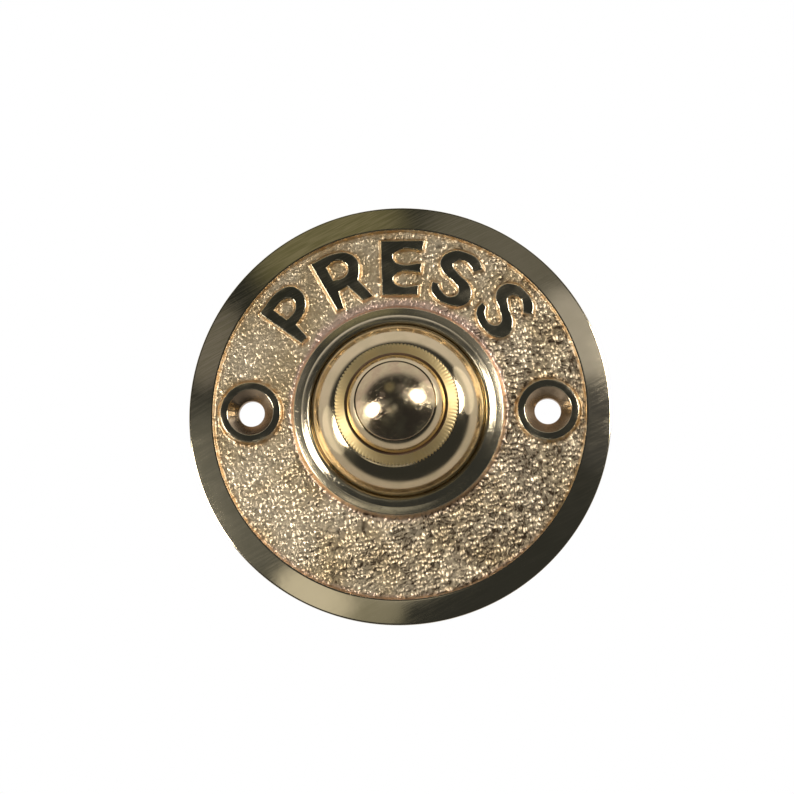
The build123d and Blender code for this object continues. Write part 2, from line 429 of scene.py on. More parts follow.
# Distance from the middle of a screw's slot, for screws that stand level with each other
def slotPlace(tree, middle):
    x, y, z = splitPlace(tree)
    apart = mathNode(tree, "SUBTRACT", mathNode(tree, "ABSOLUTE", z, 0), middle)
    return mathNode(tree, "ABSOLUTE", apart, 0)


# Rolled strip and small turned fittings, with painted shade in the slots of screws
rolled = {"haze": 300, "lines": (0, 2.5, 0.12), "lineDepth": 0.1, "duller": 0.15}
# painted shade in a screw slot: half width, where it fades, and its strength
screwSlot = {"half": 0.27, "edge": 0.3, "recessShade": 0.85}


def rolledMetal(name, colour, worn, roughness, slotMiddle=None):
    material, tree, shader = newMaterial(name)
    haze = patchNoise(tree, rolled["haze"], detail=4)
    lines = brushLines(tree, *rolled["lines"])
    mixed = mixColours(tree, hazeShare(tree, haze), colour, worn)
    if slotMiddle is not None:
        apart = slotPlace(tree, slotMiddle)
        # painted shade in the slot
        slotShade = rangeNode(tree, apart, screwSlot["half"] * mm, screwSlot["edge"] * mm, screwSlot["recessShade"], 0)
        mixed = mixColours(tree, slotShade, mixed, brassLook["paintedShade"])
    dulled = rangeNode(tree, haze, *dullRange, roughness, roughness + rolled["duller"])
    linkLooks(tree, shader, mixed, dulled, bumpNode(tree, lines, rolled["lineDepth"], hairline))
    setInputs(shader, Metallic=1.0)
    return material


# Relieved back of the plate, left as it came out of the mould
skin = {"patches": 160, "grain": 2200, "smooth": 0.45, "rough": 0.6, "strength": 0.7, "depth": 0.0001}


def castSkin(name):
    material, tree, shader = newMaterial(name)
    patches = patchNoise(tree, skin["patches"], detail=4)
    grain = patchNoise(tree, skin["grain"], detail=3)
    colour = mixColours(tree, hazeShare(tree, patches), brassLook["skin"], brassLook["dullSkin"])
    roughness = rangeNode(tree, grain, *grainRange, skin["smooth"], skin["rough"])
    linkLooks(tree, shader, colour, roughness, bumpNode(tree, grain, skin["strength"], skin["depth"]))
    setInputs(shader, Metallic=1.0)
    return material


# Moulded base, fibre tip, and the painted shade in the nut's thread chamfer round the bush
moulded = {"mottle": 220, "grain": 1500, "duller": 0.15, "strength": 0.12, "depth": 0.00003}


def mouldedStuff(name, colour, cloud, roughness):
    material, tree, shader = newMaterial(name)
    mottle = patchNoise(tree, moulded["mottle"], detail=4)
    grain = patchNoise(tree, moulded["grain"], detail=3)
    mixed = mixColours(tree, hazeShare(tree, mottle), colour, cloud)
    dulled = rangeNode(tree, grain, *grainRange, roughness, roughness + moulded["duller"])
    linkLooks(tree, shader, mixed, dulled, bumpNode(tree, grain, moulded["strength"], moulded["depth"]))
    return material


turnedFinish = turnedBrass("turnedBrass", ("colour", "worn"), smooth=0.08, rough=0.15, spread=0.6)
ringFinish = turnedBrass("ringBrass", ("rim", "dullRim"), smooth=0.14, rough=0.24, spread=0.6,
                         scratchDepth=0.2)
handledFinish = turnedBrass("handledBrass", ("handled", "worn"), smooth=0.13, rough=0.22, spread=0.3,
                            hazeScale=500, scratchDepth=0.3)
satinFinish = turnedBrass("satinBrass", ("satin", "dullSatin"), smooth=0.44, rough=0.54, spread=0.7)
boredFinish = turnedBrass("boredBrass", ("bored", "dullBored"), smooth=0.14, rough=0.22, spread=0.8,
                          axisOffset=screwSpacing)
linishedFinish = linishedBrass("linishedBrass", swellDepth=0.000006, scuffed=0.02)
letterFinish = linishedBrass("letterBrass", swellDepth=0.00008, scuffed=0.14)
stippledFinish = stippledBrass("stippledBrass")
insideLook = {  # each a colour and a duller one
    "bronze": ((0.72, 0.47, 0.30), (0.60, 0.36, 0.22)),
    "terminal": ((0.78, 0.60, 0.32), (0.66, 0.49, 0.26)),
    "screw": ((0.80, 0.61, 0.32), (0.68, 0.50, 0.26)),
    "steel": ((0.60, 0.59, 0.56), (0.50, 0.49, 0.47)),
    "phenolic": ((0.030, 0.022, 0.018), (0.050, 0.034, 0.026)),
    # dark brown for painted shade in the nut's thread chamfer
    "recessShade": ((0.09, 0.055, 0.03), (0.15, 0.09, 0.045)),
    "fibre": ((0.32, 0.08, 0.05), (0.24, 0.06, 0.04)),
}
bronzeFinish = rolledMetal("contactBronze", *insideLook["bronze"], roughness=0.22)
terminalFinish = rolledMetal("terminalBrass", *insideLook["terminal"], roughness=0.25)
terminalScrewFinish = rolledMetal("terminalScrewBrass", *insideLook["screw"], roughness=0.22, slotMiddle=0)
baseScrewHead = 1.5  # radius, millimetres
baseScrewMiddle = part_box("base_screws")[1].z - baseScrewHead * mm
steelFinish = rolledMetal("platedSteel", *insideLook["steel"], roughness=0.3, slotMiddle=baseScrewMiddle)
skinFinish = castSkin("castSkin")
phenolicFinish = mouldedStuff("phenolic", *insideLook["phenolic"], roughness=0.3)
threadShadeFinish = mouldedStuff("threadGapShade", *insideLook["recessShade"], roughness=0.55)
fibreFinish = mouldedStuff("vulcanFibre", *insideLook["fibre"], roughness=0.5)
print("finishes made")


# Cast plate: rim, ring round the dome and relieved back
plate = {
    "centreHole": 14.05, "ledge": 3.4, "recess": 18.45, "recessDepth": 1.9,
    "edge": 2.2, "rimInner": 33.6, "rimTop": 3.0, "rimCrown": 0.02, "rimSteps": 14, "bed": 1.9,
    "ringOuter": 18.85, "ringEdge": 3.5, "ringBore": 15.75, "boreTop": 4.2, "ringLow": 3.3,
    "ringArcs": [(18.55, 3.76, 0.07, 6), (17.4, 3.97, 0.02, 8), (16.3, 4.46, 0.05, 10)],  # end, bulge, steps
    "reliefInner": 20.85, "reliefOuter": 34.5, "relief": 0.8, "reliefMargin": 0.3,
    "steps": 320, "softening": 0.09, "softenOver": 24, "waviness": 0.012, "waveLength": 10.0,
}


def drawPlate():
    bm = bmesh.new()
    outer = plateRadius / mm
    first = startProfile(bm, plate["ringBore"], plate["ledge"])
    vert = linesTo(bm, first, [
        (plate["centreHole"], plate["ledge"]),
        (plate["centreHole"], plate["recessDepth"]),
        (plate["recess"], plate["recessDepth"]),
        (plate["recess"], 0),
        (plate["reliefInner"], 0),
        (plate["reliefInner"], plate["relief"]),
        (plate["reliefOuter"], plate["relief"]),
        (plate["reliefOuter"], 0),
        (outer, 0),
        (outer, plate["edge"]),
    ])
    vert = arcTo(bm, vert, plate["rimInner"], plate["rimTop"], plate["rimCrown"], plate["rimSteps"])
    vert = lineTo(bm, vert, plate["rimInner"], plate["bed"])
    vert = lineTo(bm, vert, plate["ringOuter"], plate["bed"])
    vert = lineTo(bm, vert, plate["ringOuter"], plate["ringEdge"])
    for radius, height, bulge, steps in plate["ringArcs"]:
        vert = arcTo(bm, vert, radius, height, bulge, steps)
    vert = lineTo(bm, vert, plate["ringBore"], plate["boreTop"])
    bm.edges.new((vert, first))
    return spinAndRound(bm, plate)


# Screw bosses, each with the pad behind it
boss = {
    "x": screwSpacing, "bore": 2.35, "countersink": 4.2, "top": 3.0, "shoulder": 5.4, "foot": 5.6,
    "footHeight": 2.65, "skirt": 6.1, "skirtHeight": 2.1, "skirtBack": 0.4, "pad": 6.3, "padFront": 0.2,
    "overlap": 0.2, "boredEdge": 0.05, "steps": 96, "softening": 0.07, "softenOver": 24,
}


def drawBoss(side):
    bm = bmesh.new()
    coneEnd = boss["top"] - (boss["countersink"] - boss["bore"])
    first = startProfile(bm, boss["bore"], 0)
    vert = linesTo(bm, first, [
        (boss["bore"], coneEnd),
        (boss["countersink"], boss["top"]),
        (boss["shoulder"], boss["top"]),
        (boss["foot"], boss["footHeight"]),
        (boss["skirt"], boss["skirtHeight"]),
        (boss["skirt"], plate["relief"] + boss["skirtBack"]),
        (boss["pad"], plate["relief"] + boss["padFront"]),
        (boss["pad"], 0),
    ])
    bm.edges.new((vert, first))
    spinAndRound(bm, boss)
    bmesh.ops.translate(bm, verts=bm.verts[:], vec=(side * boss["x"] * mm, 0, 0))
    return bm


throughPlate = (-1, 4)  # where a cutter through the whole plate starts and ends


def drawPlug(lowRadius, highRadius, low, high, x):
    bm = bmesh.new()
    bmesh.ops.create_cone(bm, cap_ends=True, segments=96, radius1=lowRadius * mm, radius2=highRadius * mm,
                          depth=(high - low) * mm)
    bmesh.ops.rotate(bm, verts=bm.verts[:], cent=(0, 0, 0), matrix=Matrix.Rotation(math.pi / 2, 3, "X"))
    bmesh.ops.translate(bm, verts=bm.verts[:], vec=onFace(x, (low + high) / 2, 0))
    return bm


# Hand finishing leaves the polished faces slightly wavy
def addWaviness(piece):
    for vert in piece.data.vertices:
        place = vert.co / (plate["waveLength"] * mm)
        if -vert.co.y > plate["bed"] * mm:
            vert.co.y -= plate["waviness"] * mm * noise.noise(place)


# The ring is turned on the lathe, the countersinks are bored, the bosses are scuffed like the letters,
# and the relieved back keeps its cast skin
def finishTurnedFaces(piece):
    for finish in (ringFinish, boredFinish, letterFinish, skinFinish):
        piece.data.materials.append(finish)
    for face in piece.data.polygons:
        x, height, z = face.center.x / mm, -face.center.y / mm, face.center.z / mm
        radius = math.hypot(x, z)
        fromScrew = math.hypot(abs(x) - boss["x"], z)
        relieved = plate["reliefInner"] < radius < plate["reliefOuter"]
        if radius < plate["ringOuter"] and height > plate["ringLow"]:
            face.material_index = 1
        elif fromScrew < boss["countersink"] - boss["boredEdge"]:
            face.material_index = 2
        elif fromScrew < boss["foot"] and height > plate["bed"]:
            face.material_index = 3
        elif relieved and abs(height - plate["relief"]) < plate["reliefMargin"]:
            face.material_index = 4


plateCasting = meshObject("plate_casting", drawPlate())
for side in (-1, 1):
    opening = boss["skirt"] - boss["overlap"]
    plug = meshObject("boss_opening", drawPlug(opening, opening, *throughPlate, side * boss["x"]))
    combine(plateCasting, plug, "DIFFERENCE")
for side in (-1, 1):
    combine(plateCasting, meshObject("boss_blank", drawBoss(side)), "UNION")
addWaviness(plateCasting)
finishPiece(plateCasting, linishedFinish, "housing")
finishTurnedFaces(plateCasting)
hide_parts("face_plate")
print("plate casting", len(plateCasting.data.polygons), "faces")


# Raised word, one letter after another round the plate
# An outline's points are millimetres from the letter's foot, each a corner (c) or on a round (r)
word = {
    "foot": 21.4, "top": 3.0, "root": 2.0, "edgeSteps": [(0.08, 0.08), (0.07, 0.035), (0.1, 0.012)],
    "letters": [("P", -46.5), ("R", -22.0), ("E", 0.3), ("S", 21.5), ("S", 44.6)],
    "leans": [0, 0, 0, 0, 5], "leanAbout": (0.8, 5.0), "weld": 0.002, "fineness": 8, "frontFacing": -0.9,
}
letterOutlines = {
    "P": [
        [(-4.25, 9.6, "c"), (1.4, 9.95, "r"), (3.3, 9.0, "r"), (3.95, 7.2, "r"), (3.4, 5.2, "r"),
         (1.6, 3.7, "r"), (-1.15, 3.25, "c"), (-1.4, 0.0, "c"), (-3.0, 0.0, "c")],
        [(-2.0, 8.1, "c"), (0.6, 8.15, "r"), (1.75, 6.9, "r"), (0.6, 5.25, "r"), (-1.65, 5.15, "c")],
    ],
    "R": [
        [(-4.75, 10.0, "c"), (0.3, 10.2, "r"), (2.6, 9.2, "r"), (3.6, 7.2, "r"), (3.2, 5.4, "r"),
         (2.3, 3.8, "c"), (3.75, 0.0, "c"), (1.65, 0.0, "c"), (0.05, 3.5, "c"), (-1.7, 3.25, "c"),
         (-2.0, 0.0, "c"), (-3.4, 0.0, "c")],
        [(-2.25, 8.35, "c"), (-0.3, 8.85, "r"), (1.15, 7.9, "r"), (1.2, 6.3, "r"), (0.2, 5.45, "r"),
         (-1.95, 5.6, "c")],
    ],
    "E": [
        [(-3.45, 10.2, "c"), (4.55, 10.2, "c"), (4.3, 8.25, "c"), (-0.35, 8.25, "r"), (-1.1, 7.15, "r"),
         (-0.35, 6.0, "r"), (4.15, 6.0, "c"), (3.95, 4.1, "c"), (-0.3, 4.1, "r"), (-1.0, 3.0, "r"),
         (-0.3, 1.85, "r"), (3.6, 1.8, "c"), (3.4, -0.05, "c"), (-3.1, -0.05, "c")],
    ],
    "S": [
        [(4.8, 8.4, "c"), (3.6, 9.7, "r"), (1.0, 10.3, "r"), (-1.6, 9.7, "r"), (-3.0, 7.7, "r"),
         (-2.2, 5.6, "r"), (0.3, 4.4, "r"), (2.1, 3.0, "r"), (1.2, 1.6, "r"), (-0.8, 2.0, "r"),
         (-1.8, 3.1, "c"), (-3.0, 3.1, "c"), (-2.7, 1.6, "r"), (-1.4, 0.4, "r"), (1.0, -0.1, "r"),
         (3.7, 0.7, "r"), (4.7, 2.8, "r"), (3.7, 4.7, "r"), (0.8, 6.2, "r"), (-0.5, 7.4, "r"),
         (0.6, 8.6, "r"), (2.4, 8.1, "r"), (3.4, 7.3, "c")],
    ],
}


# Flat letter faces in the wall's plane, also used for the distance to the nearest letter
def drawWord():
    bm = bmesh.new()
    pivot = Vector((word["leanAbout"][0], word["leanAbout"][1] + word["foot"], 0)) * mm
    for (letter, angle), lean in zip(word["letters"], word["leans"]):
        curve = bpy.data.curves.new("letter_outline", "CURVE")
        curve.dimensions = "2D"
        curve.fill_mode = "BOTH"
        curve.resolution_u = word["fineness"]
        for outline in letterOutlines[letter]:
            spline = curve.splines.new("BEZIER")
            spline.bezier_points.add(len(outline) - 1)
            spline.use_cyclic_u = True
            for point, (across, up, kind) in zip(spline.bezier_points, outline):
                point.co = (across * mm, (up + word["foot"]) * mm, 0)
                point.handle_left_type = point.handle_right_type = "VECTOR" if kind == "c" else "AUTO"
        holder = addObject("letter_outline", curve)
        flat = evaluatedMesh(holder)
        leaning = Matrix.Rotation(-math.radians(lean), 4, "Z")
        flat.transform(Matrix.Translation(pivot) @ leaning @ Matrix.Translation(-pivot))
        flat.transform(Matrix.Rotation(math.pi / 2, 4, "X"))
        flat.transform(Matrix.Rotation(math.radians(angle), 4, "Y"))
        bm.from_mesh(flat)
        bpy.data.objects.remove(holder)
        bpy.data.meshes.remove(flat)
    weld(bm, word["weld"])
    return bm


wordFace = drawWord()
wordTree = BVHTree.FromBMesh(wordFace)


def raiseWord(bm):
    bmesh.ops.translate(bm, verts=bm.verts[:], vec=onFace(0, word["root"], 0))
    raised = bmesh.ops.extrude_face_region(bm, geom=bm.faces[:])["geom"]
    verts = onlyVerts(raised)
    rise = word["top"] - word["root"] - sum(depth for width, depth in word["edgeSteps"])
    bmesh.ops.translate(bm, verts=verts, vec=onFace(0, rise, 0))
    turnOutward(bm)
    tops = [face for face in bm.faces if face.normal.y < word["frontFacing"]]
    for number, (width, depth) in enumerate(word["edgeSteps"]):
        bmesh.ops.inset_region(bm, faces=tops, thickness=width * mm, depth=depth * mm,
                               use_even_offset=number == 0)
    bmesh.ops.delete(bm, geom=tops, context="FACES")  # filled afresh inside the rounded edges
    edges = [edge for edge in bm.edges if edge.is_boundary]
    for edge in edges:
        for vert in edge.verts:
            vert.co.y = -word["top"] * mm
    bmesh.ops.triangle_fill(bm, edges=edges, use_beauty=True, normal=(0, -1, 0))
    turnOutward(bm)
    return bm


letters = meshObject("raised_word", raiseWord(wordFace))
finishPiece(letters, letterFinish, "housing", sharpAngle=30)
print("raised word", len(letters.data.polygons), "faces")


# Stippled ground between rim and ring, a sheet of grains that rises to meet every raised edge
ground = {
    "inner": 18.75, "outer": 33.7, "rows": 86, "steps": 960, "height": 2.3, "under": 1.7, "bedMargin": 0.01,
    "cut": 5.15, "cutSpan": (0, 5), "pitch": 0.98, "shift": 0.85, "rowSpacing": 0.87, "margin": 6, "seed": 5,
    "leastTall": 0.6, "pebbleHeight": 0.3, "domeFull": 0.8, "sink": 0.4, "leastRelief": 0.1,
    "plainRelief": 0.4, "boldRelief": 0.5, "blushSmooth": 0.5, "lowerClock": 165, "lowerRange": (-0.7, 0.4),
    # painted shade in the hollows: its share on a pebble's lit and shaded side, and where it fades out
    "shadedSide": (0.8, -0.6), "shadedRange": (-0.5, 0.6), "litSideShade": 0.45, "shadedSideShade": 0.9,
    "hollowShadeFull": 0.24, "hollowShadeEnd": 0.1, "hollowShadeSpread": 0.5, "clearAt": 0.8,
    "stainFull": 0.1, "stainReach": 1.3, "stainSize": 0.9, "stainSlice": 3.3, "stainRange": (-0.6, 0.4),
}
# At each raised edge: how far out the ground starts to rise, how high it rises and how stained it is
feet = {
    "rim": (0.5, 0.6, 0.75), "ring": (0.75, 1.2, 0.3), "boss": (0.5, 0.55, 0.95), "word": (0.5, 0.55, 0.6),
}
boldness = {
    "clock": 122, "lean": 0.4, "least": 0.15, "from": -0.2, "full": 0.65,
    "coarse": 0.35, "coarseSize": 3.4, "coarseSlice": 1.7, "fine": 0.55, "fineSize": 1.0, "fineSlice": 6.1,
}
blushing = {
    "reach": 1.5, "full": 0.45, "wordReach": 1.1, "wordClocks": (38, 60), "ring": 0.85, "ringFade": 0.5,
    "fadeClocks": (50, 110), "ringDrift": 0.45, "rim": 0.45, "rimClocks": (120, 145), "rimFull": 0.3,
    "rimReach": 1.1, "rimDrift": 0.6, "driftSize": 1.9, "driftSlice": 9.1,
}


def smoothStep(low, high, value):
    share = min(1.0, max(0.0, (value - low) / (high - low)))
    return share * share * (3 - 2 * share)


def faceNoise(x, z, size, part):
    return noise.noise((x / size, z / size, part))


# Pebbles stand in loose rows over the whole ground, each with its own height
def scatterPebbles():
    dice = random.Random(ground["seed"])
    shift = ground["shift"]
    reach = int(ground["outer"] / ground["pitch"]) + ground["margin"]
    middles = []
    for row in range(-reach, reach + 1):
        for column in range(-reach, reach + 1):
            across = column + 0.5 * (row % 2) + dice.uniform(-shift, shift)
            up = ground["rowSpacing"] * row + dice.uniform(-shift, shift)
            tall = dice.uniform(ground["leastTall"], 1)
            middles.append((across * ground["pitch"], up * ground["pitch"], tall))
    tree = KDTree(len(middles))
    for index, (across, up, height) in enumerate(middles):
        tree.insert((across, up, 0), index)
    tree.balance()
    return tree, [height for across, up, height in middles]


pebbleTree, pebbleHeights = scatterPebbles()


# How far a place is inside its pebble (0 where two meet), the pebble's own height, and its shaded side, which
# gets painted shadow
def pebbleAt(x, z):
    nearest, second = pebbleTree.find_n((x, z, 0), 2)
    apart = (second[0] - nearest[0]).normalized()
    across, up = ground["shadedSide"]
    shaded = smoothStep(*ground["shadedRange"], across * apart.x + up * apart.y)
    return (second[2] - nearest[2]) / ground["pitch"], pebbleHeights[nearest[1]], shaded


# Pebbles are boldest at the lower right and faint round the word
def boldnessAt(x, z):
    downRight = math.cos(math.atan2(x, z) - math.radians(boldness["clock"]))
    coarse = boldness["coarse"] * faceNoise(x, z, boldness["coarseSize"], boldness["coarseSlice"])
    fine = boldness["fine"] * faceNoise(x, z, boldness["fineSize"], boldness["fineSlice"])
    share = smoothStep(boldness["from"], boldness["full"], coarse + fine + boldness["lean"] * downRight)
    return boldness["least"] + (1 - boldness["least"]) * share


# Copper shows round the ring, up to the letters' feet, and along the lower rim
def blushAt(x, z, ringGap, rimGap):
    clock = abs(math.degrees(math.atan2(x, z)))
    drift = faceNoise(x, z, blushing["driftSize"], blushing["driftSlice"])
    reach = blushing["reach"] + blushing["wordReach"] * (1 - smoothStep(*blushing["wordClocks"], clock))
    byRing = blushing["ring"] - blushing["ringFade"] * smoothStep(*blushing["fadeClocks"], clock)
    byRing *= 1 - smoothStep(blushing["full"] * reach, reach, ringGap + blushing["ringDrift"] * drift)
    byRim = blushing["rim"] * smoothStep(*blushing["rimClocks"], clock)
    byRim *= 1 - smoothStep(blushing["rimFull"], blushing["rimReach"], rimGap + blushing["rimDrift"] * drift)
    return max(byRing, byRim)


# Height, and the attributes that the finish reads
def groundAt(x, z):
    radius = math.hypot(x, z)
    rimGap = plate["rimInner"] - radius
    ringGap = radius - plate["ringOuter"]
    gaps = {
        "rim": rimGap,
        "ring": ringGap,
        "boss": math.hypot(abs(x) - boss["x"], z) - boss["foot"],
        "word": wordTree.find_nearest(Vector((x * mm, 0, z * mm)))[3] / mm,
    }
    rise = 0.0
    clear = 1.0
    stain = 0.0
    for name, gap in gaps.items():
        foot, height, strength = feet[name]
        share = 1 - min(1.0, max(0.0, gap / foot))
        rise = max(rise, height * share * share)
        clear = min(clear, smoothStep(0.0, ground["clearAt"], gap / foot))
        stain = max(stain, strength * (1 - smoothStep(ground["stainFull"], ground["stainReach"], gap)))
    bold = clear * boldnessAt(x, z)
    depth, tall, shaded = pebbleAt(x, z)
    stainNoise = faceNoise(x, z, ground["stainSize"], ground["stainSlice"])
    stain *= smoothStep(*ground["stainRange"], stainNoise)
    blush = blushAt(x, z, ringGap, rimGap)
    downward = math.cos(math.atan2(x, z) - math.radians(ground["lowerClock"]))
    lower = smoothStep(*ground["lowerRange"], downward)
    relief = ground["plainRelief"] + ground["boldRelief"] * max(bold, lower)
    relief = ground["pebbleHeight"] * (ground["leastRelief"] + clear * relief)
    relief *= 1 - ground["blushSmooth"] * blush
    # Painted shade in the hollows between pebbles, heavier on each pebble's shaded side and where the pebbles
    # are bold
    paintedShade = min(1.0, bold * (ground["litSideShade"] + ground["shadedSideShade"] * shaded))
    hollowShadeEnd = ground["hollowShadeEnd"] + ground["hollowShadeSpread"] * bold
    hollowShade = paintedShade * (1 - smoothStep(ground["hollowShadeFull"] * bold, hollowShadeEnd, depth))
    grain = tall * smoothStep(0.0, ground["domeFull"], depth) - ground["sink"]
    return ground["height"] + rise + relief * grain, {"hollowShade": hollowShade, "stain": stain, "blush": blush}


# A flat grid wrapped round the axis, closed underneath
def drawGround():
    bm = bmesh.new()
    bmesh.ops.create_grid(bm, x_segments=ground["steps"], y_segments=ground["rows"], size=0.5)
    span = ground["outer"] - ground["inner"]
    for vert in bm.verts:
        turn = 2 * math.pi * (vert.co.x + 0.5)
        radius = ground["inner"] + span * (vert.co.y + 0.5)
        vert.co = onFace(radius * math.sin(turn), ground["height"], radius * math.cos(turn))
    weld(bm)
    border = [edge for edge in bm.edges if edge.is_boundary]
    walls = bmesh.ops.extrude_edge_only(bm, edges=border)["geom"]
    for vert in onlyVerts(walls):
        vert.co.y = -ground["under"] * mm
    bmesh.ops.bridge_loops(bm, edges=[item for item in walls if isinstance(item, bmesh.types.BMEdge)])
    turnOutward(bm)
    return bm


def stippleGround(bm):
    layers = {key: bm.verts.layers.float.new(key) for key in groundLooks}
    bed = -(ground["height"] - ground["bedMargin"]) * mm
    for vert in bm.verts:
        if vert.co.y < bed:
            height, looks = groundAt(vert.co.x / mm, vert.co.z / mm)
            vert.co.y = -height * mm
            for key, value in looks.items():
                vert[layers[key]] = value
    return bm


stippledGround = meshObject("stippled_ground", stippleGround(drawGround()))
for side in (-1, 1):
    plug = drawPlug(ground["cut"], ground["cut"], *ground["cutSpan"], side * boss["x"])
    plug = meshObject("boss_opening", plug)
    combine(stippledGround, plug, "DIFFERENCE")
finishPiece(stippledGround, stippledFinish, "housing", sharpAngle=180)
print("stippled ground", len(stippledGround.data.polygons), "faces")


# Turned dome on the plate
dome = {
    "radius": 15.6, "seat": 3.4, "skirt": 4.2, "bulge": 0.7, "shoulder": 10.95, "top": 9.1, "hole": 8.8,
    "ceiling": 7.9, "throat": 10.4, "cavity": 12.5, "cavityTop": 5.2, "spigot": 14.0, "spigotBack": 2.0,
    "arcSteps": 28, "steps": 300, "softening": 0.06, "softenOver": 30,
}


def drawDome():
    bm = bmesh.new()
    first = startProfile(bm, dome["shoulder"], dome["top"])
    vert = namedLines(bm, first, dome, [
        ("hole", "top"), ("hole", "ceiling"), ("throat", "ceiling"), ("cavity", "cavityTop"),
        ("cavity", "spigotBack"), ("spigot", "spigotBack"), ("spigot", "seat"), ("radius", "seat"),
        ("radius", "skirt"),
    ])
    arcTo(bm, vert, dome["shoulder"], dome["top"], dome["bulge"], dome["arcSteps"])
    closeProfile(bm)
    return spinAndRound(bm, dome)


domePiece = finishPiece(meshObject("domed_bezel", drawDome()), turnedFinish, "housing")
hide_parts("dome")
print("domed bezel", len(domePiece.data.polygons), "faces")


# Guide bush with a rounded nose
bush = {
    "bore": 6.95, "lip": 7.15, "nose": 12.95, "back": 7.1, "flange": 10.2, "ceiling": 7.9, "radius": 8.75,
    "foot": 10.4, "bulge": 0.25, "arcSteps": 16, "steps": 240, "softening": 0.03, "softenOver": 30,
}


def drawBush():
    bm = bmesh.new()
    first = startProfile(bm, bush["lip"], bush["nose"])
    vert = namedLines(bm, first, bush, [
        ("bore", "nose"), ("bore", "back"), ("flange", "back"), ("flange", "ceiling"),
        ("radius", "ceiling"), ("radius", "foot"),
    ])
    arcTo(bm, vert, bush["lip"], bush["nose"], bush["bulge"], bush["arcSteps"])
    closeProfile(bm)
    return spinAndRound(bm, bush)


bushPiece = finishPiece(meshObject("bush_nose", drawBush()), turnedFinish, "housing")
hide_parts("guide_bush")
print("bush", len(bushPiece.data.polygons), "faces")


# Ring nut with a knurled edge, a coned face and a chamfer where its thread starts
nut = {
    "inner": 8.8, "outer": 10.85, "seat": 9.1, "edge": 10.1, "face": 10.4, "chamfer": 0.3,
    "tick": 10.2, "tickHeight": 10.21, "teeth": 104, "stepsPerTooth": 6, "depth": 0.34, "grooveShare": 0.76,
}


def drawNut():
    bm = bmesh.new()
    first = startProfile(bm, nut["inner"], nut["seat"])
    vert = linesTo(bm, first, [
        (nut["outer"], nut["seat"]),
        (nut["outer"], nut["edge"]),
        (nut["tick"], nut["tickHeight"]),
        (nut["inner"] + nut["chamfer"], nut["face"]),
        (nut["inner"], nut["face"] - nut["chamfer"]),
    ])
    bm.edges.new((vert, first))
    spinRound(bm, nut["teeth"] * nut["stepsPerTooth"])
    return bm


# Each groove of the knurl is an upright V
def knurlEdge(bm):
    root = nut["outer"] - nut["depth"]
    for vert in bm.verts:
        radius = math.hypot(vert.co.x, vert.co.z) / mm
        turn = math.atan2(vert.co.x, vert.co.z) / (2 * math.pi) * nut["teeth"]
        offCentre = abs(turn - round(turn)) / (nut["grooveShare"] / 2)
        inward = min(radius, root + nut["depth"] * offCentre) / radius
        vert.co.x *= inward
        vert.co.z *= inward
    return bm


nutPiece = meshObject("knurled_nut", knurlEdge(drawNut()))
finishPiece(nutPiece, satinFinish, "housing")
# The thread chamfer gets the dark finish: painted shade in the gap round the bush
nutPiece.data.materials.append(threadShadeFinish)
for face in nutPiece.data.polygons:
    if math.hypot(face.center.x, face.center.z) < (nut["inner"] + nut["chamfer"]) * mm:
        face.material_index = 1
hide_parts("ring_nut")
print("knurled nut", len(nutPiece.data.polygons), "faces")


# Push button
knob = {
    "radius": 6.87, "edge": 13.2, "top": 15.9, "capSteps": 40, "flange": 8.3, "flangeFront": 7.05,
    "flangeBack": 6.1, "hole": 1.5, "holeEnd": 9.1, "steps": 200, "softening": 0.04, "softenOver": 30,
}


def drawButton():
    bm = bmesh.new()
    vert = namedLines(bm, startProfile(bm, 0, knob["holeEnd"]), knob, [
        ("hole", "holeEnd"), ("hole", "flangeBack"), ("flange", "flangeBack"), ("flange", "flangeFront"),
        ("radius", "flangeFront"), ("radius", "edge"),
    ])
    rise = knob["top"] - knob["edge"]
    for step in range(1, knob["capSteps"] + 1):
        share = 1 - step / knob["capSteps"]
        vert = lineTo(bm, vert, knob["radius"] * share, knob["top"] - rise * share * share)
    return spinAndRound(bm, knob)


buttonPiece = finishPiece(meshObject("push_button", drawButton()), handledFinish, "push")
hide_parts("button")
print("push button", len(buttonPiece.data.polygons), "faces")


# Sprung leaf behind the button: a foot under its terminal, a ramp that bends, and a flat with a pip
leaf = {
    "end": 11.3, "foot": 7.4, "flat": 2.0, "footHeight": 2.65, "flatHeight": 4.42, "width": 4.0,
    "thickness": 0.3, "rampSteps": 12, "terminal": 9.4, "eyelet": 1.55, "eyeletReach": 1,
    "pip": 1.0, "pipTip": 0.5, "pipEnd": 4.02, "pipSunk": 0.02,
}


def leafHeight(share):
    return leaf["footHeight"] + (leaf["flatHeight"] - leaf["footHeight"]) * share


def drawLeaf():
    bm = bmesh.new()
    places = [(leaf["end"], 0.0)]
    for step in range(leaf["rampSteps"] + 1):
        share = step / leaf["rampSteps"]
        places.append((leaf["foot"] + (leaf["flat"] - leaf["foot"]) * share, share))
    places.append((-leaf["flat"], 1.0))
    half = leaf["thickness"] / 2
    front = [(x, leafHeight(share) + half) for x, share in places]
    back = [(x, leafHeight(share) - half) for x, share in places]
    first = startProfile(bm, *front[0])
    vert = linesTo(bm, first, front[1:] + back[::-1])
    bm.edges.new((vert, first))
    bmesh.ops.translate(bm, verts=bm.verts[:], vec=(0, 0, -leaf["width"] / 2 * mm))
    side = bmesh.ops.contextual_create(bm, geom=bm.edges[:])["faces"]
    raised = bmesh.ops.extrude_face_region(bm, geom=side)["geom"]
    bmesh.ops.translate(bm, verts=onlyVerts(raised), vec=(0, 0, leaf["width"] * mm))
    turnOutward(bm)
    return bm


